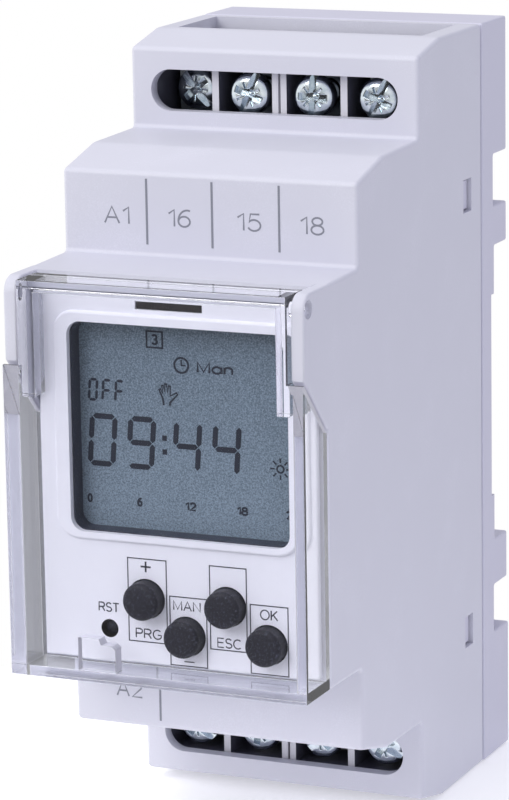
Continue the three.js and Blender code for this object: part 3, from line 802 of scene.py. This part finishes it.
letters = {  # pen strokes of each sign, one unit tall
    "0": [loop(0.28, 0.5, 0.28, 0.5, 0, 360)],
    "1": [[(0, 0.76), (0.28, 1), (0.28, 0)]],
    "2": [loop(0.29, 0.71, 0.28, 0.29, 165, -38) + [(0, 0), (0.6, 0)]],
    "3": [loop(0.27, 0.75, 0.25, 0.25, 155, -90) + loop(0.27, 0.25, 0.29, 0.25, 90, -155)],
    "4": [[(0.46, 0), (0.46, 1), (0, 0.28), (0.62, 0.28)]],
    "5": [[(0.53, 1), (0.12, 1), (0.05, 0.5)] + loop(0.28, 0.33, 0.3, 0.33, 130, -155)],
    "6": [loop(0.29, 0.31, 0.29, 0.31, 0, 360), loop(0.45, 0.33, 0.45, 0.67, 180, 72)],
    "8": [loop(0.29, 0.27, 0.29, 0.27, 0, 360), loop(0.29, 0.77, 0.24, 0.23, 0, 360)],
    "A": [[(0, 0), (0.36, 1), (0.72, 0)], [(0.12, 0.34), (0.6, 0.34)]],
    "C": [loop(0.42, 0.5, 0.42, 0.5, 48, 312)],
    "E": [[(0.62, 1), (0, 1), (0, 0), (0.62, 0)], [(0, 0.53), (0.57, 0.53)]],
    "G": [loop(0.43, 0.5, 0.43, 0.5, 48, 325) + [(0.8, 0.45), (0.45, 0.45)]],
    "K": [[(0, 0), (0, 1)], [(0.6, 1), (0, 0.36)], [(0.2, 0.58), (0.64, 0)]],
    "M": [[(0, 0), (0, 1), (0.38, 0.08), (0.76, 1), (0.76, 0)]],
    "N": [[(0, 0), (0, 1), (0.64, 0), (0.64, 1)]],
    "O": [loop(0.44, 0.5, 0.44, 0.5, 0, 360)],
    "P": [[(0, 0), (0, 1)] + loop(0.36, 0.74, 0.27, 0.26, 90, -90) + [(0, 0.48)]],
    "R": [[(0, 0), (0, 1)] + loop(0.38, 0.74, 0.27, 0.26, 90, -90) + [(0, 0.48)], [(0.38, 0.48), (0.68, 0)]],
    "S": [loop(0.31, 0.75, 0.28, 0.25, 25, 270) + loop(0.31, 0.25, 0.31, 0.25, 90, -160)],
    "T": [[(0, 1), (0.7, 1)], [(0.35, 1), (0.35, 0)]],
    "a": [loop(0.3, 0.33, 0.3, 0.33, 0, 360), [(0.6, 0.66), (0.6, 0)]],
    "n": [[(0, 0.66), (0, 0)], loop(0.25, 0.41, 0.25, 0.25, 180, 0) + [(0.5, 0)]],
    "hand": [[(0.24, 0), (0.2, 0.3), (0, 0.72), (0.08, 0.76), (0.22, 0.5), (0.14, 0.9), (0.23, 0.93),
              (0.33, 0.55), (0.31, 1), (0.41, 1), (0.47, 0.55), (0.52, 0.93), (0.61, 0.9), (0.6, 0.45),
              (0.92, 0.62), (1, 0.54), (0.6, 0.16), (0.56, 0)]],
}


def penStrokes(strokes, x0, x1, z0, z1, y, weight):  # strokes fitted to their box on a front face
    points = [point for stroke in strokes for point in stroke]
    lowA, highA = min(p[0] for p in points), max(p[0] for p in points)
    lowB, highB = min(p[1] for p in points), max(p[1] for p in points)
    half = weight / 2
    scaleA, scaleB = (x1 - x0 - weight) / (highA - lowA), (z1 - z0 - weight) / (highB - lowB)
    curve = bpy.data.curves.new("strokes", "CURVE")
    curve.dimensions = "3D"
    curve.bevel_depth = half * mm
    curve.bevel_resolution = 1
    curve.use_fill_caps = True
    for stroke in strokes:
        line = curve.splines.new("POLY")
        line.points.add(len(stroke) - 1)
        for point, (a, b) in zip(line.points, stroke):
            point.co = ((x0 + half + (a - lowA) * scaleA) * mm, 0, (z0 + half + (b - lowB) * scaleB) * mm, 1)
    piece = bpy.data.objects.new("strokes", curve)
    bpy.context.scene.collection.objects.link(piece)
    pick(piece)
    bpy.ops.object.convert(target="MESH")
    piece = bpy.context.object
    flat = Matrix.Diagonal([1, 0.03 / weight, 1, 1])
    piece.data.transform(Matrix.Translation((0, (y - 0.01) * mm, 0)) @ flat)
    return piece


def printedWords(words, x0, x1, z0, z1, y, weight=0.2):
    strokes, start = [], 0
    for letter in words:
        width = max(a for stroke in letters[letter] for a, b in stroke)
        strokes += [[(a + start, b) for a, b in stroke] for stroke in letters[letter]]
        start += width + 0.2
    return penStrokes(strokes, x0, x1, z0, z1, y, weight)


def frameLines(x0, x1, z0, z1, width, y):  # an open rectangle of printed line
    outer = addBox("frame", (x0, y - 0.03, z0), (x1, y, z1))
    return cutAway(outer, addBox("inner", (x0 + width, y - 1, z0 + width), (x1 - width, y + 1, z1 - width)))


def makeSegments():
    d = display
    y = nodeBox("lcd_glass")[0].y
    bars = displayDigits(d["clock"], d["clockDigits"], y)
    for z in d["colonHeights"]:
        bars.append(inkBox("colon", *d["colon"], z - d["colonHalf"], z + d["colonHalf"], y))
    bars += displayDigits(d["mode"], d["modeDigits"], y)
    bars.append(frameLines(*d["dayFrame"], d["dayLine"], y))
    bars.append(printedWords("3", *d["day"], y, d["dayStroke"]))
    bars.append(penStrokes(letters["hand"], *d["hand"], y, d["handStroke"]))
    bars.append(inkRing(d["dial"], *d["dialRing"], y, 40))
    x, z = d["dial"]
    for x1, z1 in d["dialHands"]:
        bars.append(inkBox("dialHand", x - 0.08, x1, z - 0.08, z1, y))
    bars.append(printedWords("Man", *d["manual"], y, d["smallStroke"]))
    z0, z1 = d["hoursHeight"]
    for words, x, width in d["hours"]:
        bars.append(printedWords(words, x - width / 2, x + width / 2, z0, z1, y, d["smallStroke"]))
    x, z = d["sun"]
    start, end = d["sunRay"]
    bars.append(inkRing(d["sun"], *d["sunRing"], y, 32))
    for step in range(8):
        ray = inkBox("ray", x + start, x + end, z - d["rayHalf"], z + d["rayHalf"], y)
        bars.append(copyOf(ray, "ray", turn=step * math.pi / 4, around=(x, y, z)))
        bpy.data.objects.remove(ray)
    finishPiece(joinPieces("displaySegments", bars), "body", segmentInk)


makeDisplay()
makeSegments()
print("display done")


# ---- printing ----

label = {
    "line": 0.25, "weight": 0.24, "words": {
        "A1": (-12.8, -9.6, 26.1, 28.2), "16": (-4.94, -2.09, 26.1, 28.2), "15": (3.41, 6.39, 26.1, 28.2),
        "18": (10.96, 13.9, 26.1, 28.2), "A2": (-12.7, -9.3, -28.9, -26.8)},
    "dividers": ((-7.5, 24, 31.4), (0.45, 24, 31.4), (8.5, 24, 31.4), (-7.15, -31.3, -24)),
}


def makeLabelPrint():
    y, half = housing["labelFace"], label["line"] / 2
    marks = [printedWords(words, *place, y, label["weight"]) for words, place in label["words"].items()]
    for x, z0, z1 in label["dividers"]:
        marks.append(addBox("divider", (x - half, y - 0.03, z0), (x + half, y, z1)))
    finishPiece(joinPieces("labelPrint", marks), "body", labelInk)


panelPrint = {
    "line": 0.12, "weight": 0.17,
    "frames": {"prg": (-5.64, -0.85, -18.65, -9.05), "esc": (4.26, 8.76, -18.67, -9.1),
               "man": (-0.6, 3.95, -20.95, -13), "ok": (9.07, 13.66, -20.95, -13.03)},
    "words": {"PRG": (-4.81, -1.58, -18.25, -17.05), "MAN": (-0.16, 3.2, -14.65, -13.45),
              "ESC": (5.08, 7.98, -18.4, -17.2), "OK": (10.25, 12.45, -14.75, -13.5),
              "RST": (-9.3, -6.7, -15.6, -14.45)},
    "signs": ((-4.0, -2.78, -10.1, -9.9), (-3.49, -3.29, -10.6, -9.4), (1.1, 2.3, -20.45, -20.33)),
}


def makePanelPrint():
    p = panelPrint
    y = nodeBox("front_panel")[0].y + panel["bezelProud"]
    marks = []
    for name, place in p["frames"].items():
        keyRoom = addRod("keyRoom", "y", keyPlace(name), panel["keyHole"] + 0.05, y - 1, y + 1)
        marks.append(cutAway(frameLines(*place, p["line"], y), keyRoom))
    marks += [printedWords(words, *place, y, p["weight"]) for words, place in p["words"].items()]
    for x0, x1, z0, z1 in p["signs"]:
        marks.append(addBox("sign", (x0, y - 0.03, z0), (x1, y, z1)))
    finishPiece(joinPieces("panelPrint", marks), "body", panelInk)


makeLabelPrint()
makePanelPrint()
print("printing done")


# ---- terminals ----

terminal = {
    "turns": {"upper": (0.87, -1.19, -1.54, -1.13), "lower": (0.7, 0.15, -0.8, 0.5)},
    "domedHead": ((0, 0), (0.9, 0.03), (1.6, 0.12), (2.1, 0.27), (2.33, 0.42), (2.46, 0.66), (2.5, 0.95)),
    "head": (2.5, 1.8), "shank": (1.45, 7.05), "slotHalf": 0.42, "slotDepth": 0.95, "cross": (1.7, 1.25),
    "centre": (1.1, 0.2, 2.2), "star": (1.45, 0.13, 0.6),
    "chamberHeights": (33, 41.5), "chamberSides": (0.6, 15.6),
}


def makeScrewPattern():
    t = terminal
    headRadius, headDepth = t["head"]
    shank, length = t["shank"]
    profile = list(t["domedHead"]) + [(headRadius, headDepth - 0.15), (headRadius - 0.15, headDepth)]
    profile += [(shank, headDepth), (shank, length - 0.15), (shank - 0.15, length), (0, length)]
    screw = addTurned("screwPattern", profile, steps=48)
    half = t["slotHalf"]
    reach, depth = t["cross"]
    cuts = [addBox("slot", (-3, -1, -half), (3, t["slotDepth"], half))]
    cuts.append(addBox("cross", (-half, -1, -reach), (half, depth, reach)))
    wide, narrow, deep = (value * mm for value in t["centre"])
    bpy.ops.mesh.primitive_cone_add(vertices=24, radius1=wide, radius2=narrow, depth=deep,
                                    location=(0, 0.6 * mm, 0), rotation=(-math.pi / 2, 0, 0))
    cuts.append(settle(bpy.context.object, "centre"))
    reach, half, depth = t["star"]
    for turn in (math.pi / 4, -math.pi / 4):
        arm = addBox("star", (-reach, -1, -half), (reach, depth, half))
        cuts.append(copyOf(arm, "star", turn=turn))
        bpy.data.objects.remove(arm)
    cutAway(screw, *cuts)
    return roundEdges(screw, 0.05, 2, 45)


def dressNode(name, *materials):  # a CAD node that keeps its shape
    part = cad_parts[name]
    part.data.materials.clear()
    for material in materials:
        part.data.materials.append(material)
    return part


def makeTerminalBlock(name):
    block = dressNode(name, blockPlastic, paintedWellShade)
    front = nodeBox(name)[0].y
    foot, head = terminal["chamberHeights"]
    inner, outer = terminal["chamberSides"]
    for face in block.data.polygons:  # painted shade: the walls inside the screw chambers are the light block plastic, coloured dark where shade falls
        middle = face.center / mm
        inShadedChamber = foot < abs(middle.z) < head and inner < abs(middle.x) < outer
        face.material_index = int(inShadedChamber and abs(middle.y - front) > 0.3)


def makeTerminals():
    screw = makeScrewPattern()
    for row, turns in terminal["turns"].items():
        makeTerminalBlock("terminal_block_" + row + "_left")
        makeTerminalBlock("terminal_block_" + row + "_right")
        for pole, turn in enumerate(turns, 1):
            tag = row + "_" + str(pole)
            low, high = nodeBox("terminal_screw_" + tag)
            place = ((low.x + high.x) / 2, low.y, (low.z + high.z) / 2)
            piece = copyOf(screw, "screw" + row.capitalize() + str(pole), place)
            middle = Matrix.Translation(Vector(place) * mm)
            piece.data.transform(middle @ Matrix.Rotation(turn, 4, "Y") @ middle.inverted())
            finishPiece(piece, "screw_" + tag, screwSteel, ["terminal_screw_" + tag], 30)
            dressNode("terminal_frame_" + tag, frameSteel)
            dressNode("clamp_plate_" + tag, frameSteel)
    bpy.data.objects.remove(screw)


makeTerminals()
print("terminals done")


# ---- CAD nodes that keep their shape ----

kept = {
    "din_clip": clipPlastic, "clip_spring": wireSteel, "lcd_frame": darkPlastic,
    "contact_strip_upper": stripRubber, "contact_strip_lower": stripRubber,
    "display_board": boardLaminate, "power_board": boardLaminate, "riser_board": boardLaminate,
    "microcontroller": darkPlastic, "cell_holder": darkPlastic, "backup_cell": frameSteel,
    "relay": relayPlastic, "film_capacitor": filmCasePlastic, "smoothing_capacitor": darkPlastic,
    "varistor": discEpoxy,
}
for name in keyNames + ("reset",):
    kept["switch_" + name] = darkPlastic
for name, material in kept.items():
    dressNode(name, material)


# ---- stage, lights and camera ----

stage = {
    "floor": "#fbfbfc", "floorGlow": 0.25,
    "floorDrop": 0.2, "floorMiddle": (-50, -39), "floorSize": (500, 102),
    "sky": (1.2, 0.68), "dimSide": (0.85, 0, 0.5), "dimHue": (0.85, 0.86, 1.02, 1),
    "backdrop": (-0.39, 0.9, -0.2), "backdropEdge": (0.6, 0.93), "backdropLevel": 0.3,
    "flag": (-0.39, -0.9, -0.2), "flagEdge": (0.9, 0.97), "flagLevel": 0.04, "flagThrough": 0.18,
    "lens": 172.17, "azimuth": 23.66, "elevation": 12.34, "roll": -0.94, "distance": 440.24,
    "aim": (-0.86, -29.45, 3.87),
}


def makeFloor():
    s = stage
    middle = Vector(s["floorMiddle"]) * mm
    bpy.ops.mesh.primitive_plane_add(size=1, location=(middle.x, middle.y, cadLow.z - s["floorDrop"] * mm))
    floor = bpy.context.object
    floor.name = "floor"
    floor.scale = (s["floorSize"][0] * mm, s["floorSize"][1] * mm, 1)
    material, shader = newMaterial("paleStudioFloor")
    setShader(material, shader, {"Base Color": linear(s["floor"]), "Roughness": 0.8,
                                 "Emission Color": (1, 1, 1, 1), "Emission Strength": s["floorGlow"]})
    floor.data.materials.append(material)


def skyTowards(world, place, side):  # how far a direction points to one side, from -1 to 1
    node = addNode(world, "ShaderNodeVectorMath", {0: place, 1: side}, operation="DOT_PRODUCT")
    return node.outputs["Value"]


def skyFade(world, value, edge, levels):
    inputs = {"Value": value, "From Min": edge[0], "From Max": edge[1]}
    inputs.update({"To Min": levels[0], "To Max": levels[1]})
    return addNode(world, "ShaderNodeMapRange", inputs).outputs[0]


def skyMath(world, operation, first, second):
    return addNode(world, "ShaderNodeMath", {0: first, 1: second}, operation=operation).outputs[0]


def makeSky():  # white to the camera; to everything else a soft room with a black flag and a grey backdrop
    s = stage
    world = bpy.data.worlds.new("studio")
    bpy.context.scene.world = world
    world.use_nodes = True
    place = addNode(world, "ShaderNodeTexCoord").outputs["Generated"]
    path = addNode(world, "ShaderNodeLightPath")
    side = skyTowards(world, place, s["dimSide"])
    shade = skyFade(world, side, (-1, 1), s["sky"])
    flag = skyFade(world, skyTowards(world, place, s["flag"]), s["flagEdge"], (1, s["flagLevel"]))
    through = skyMath(world, "MULTIPLY", path.outputs["Is Transmission Ray"], s["flagThrough"])
    flag = skyMath(world, "MAXIMUM", flag, through)  # seen through the cover, the flag is only grey
    behind = skyTowards(world, place, s["backdrop"])
    grey = skyFade(world, behind, s["backdropEdge"], (1, s["backdropLevel"]))
    strength = skyMath(world, "MULTIPLY", shade, skyMath(world, "MULTIPLY", flag, grey))
    white = (1, 1, 1, 1)
    hue = addNode(world, "ShaderNodeValToRGB", {"Fac": side})
    hue.color_ramp.elements[0].color = white
    hue.color_ramp.elements[1].color = s["dimHue"]
    seen = path.outputs["Is Camera Ray"]
    level = addNode(world, "ShaderNodeMix", {0: seen, 2: strength, 3: 1})
    colour = addNode(world, "ShaderNodeMix", {0: seen, 6: hue.outputs["Color"], 7: white}, data_type="RGBA")
    background = world.node_tree.nodes["Background"]
    world.node_tree.links.new(level.outputs[0], background.inputs["Strength"])
    world.node_tree.links.new(colour.outputs[2], background.inputs["Color"])


def addLamp(name, place, size, power, aim=(0, -30, 0)):  # power in watts
    bpy.ops.object.light_add(type="AREA", location=Vector(place) * mm)
    lamp = bpy.context.object
    lamp.name = name
    lamp.data.shape = "RECTANGLE"
    lamp.data.size, lamp.data.size_y = size[0] * mm, size[1] * mm
    lamp.data.energy = power
    lamp.rotation_euler = (Vector(aim) - Vector(place)).to_track_quat("-Z", "Y").to_euler()


def makeCamera():
    s = stage
    a, e, r = (math.radians(s[k]) for k in ("azimuth", "elevation", "roll"))
    back = Vector((math.sin(a) * math.cos(e), -math.cos(a) * math.cos(e), math.sin(e)))
    right = Vector((math.cos(a), math.sin(a), 0))
    up = back.cross(right)
    turnedRight = right * math.cos(r) + up * math.sin(r)
    turnedUp = up * math.cos(r) - right * math.sin(r)
    camera = bpy.data.objects.new("camera", bpy.data.cameras.new("camera"))
    bpy.context.scene.collection.objects.link(camera)
    camera.matrix_world = Matrix((turnedRight, turnedUp, back)).transposed().to_4x4()
    camera.location = (Vector(s["aim"]) + back * s["distance"]) * mm
    camera.data.lens = s["lens"]
    camera.data.clip_start = 0.01
    bpy.context.scene.camera = camera


makeFloor()
makeSky()
addLamp("frontSoftbox", (-260, -560, 420), (260, 420), 1.8)
addLamp("topSoftbox", (-60, -120, 620), (420, 300), 0.5)
makeCamera()
bpy.context.scene.view_settings.view_transform = "Standard"
print("stage ready")
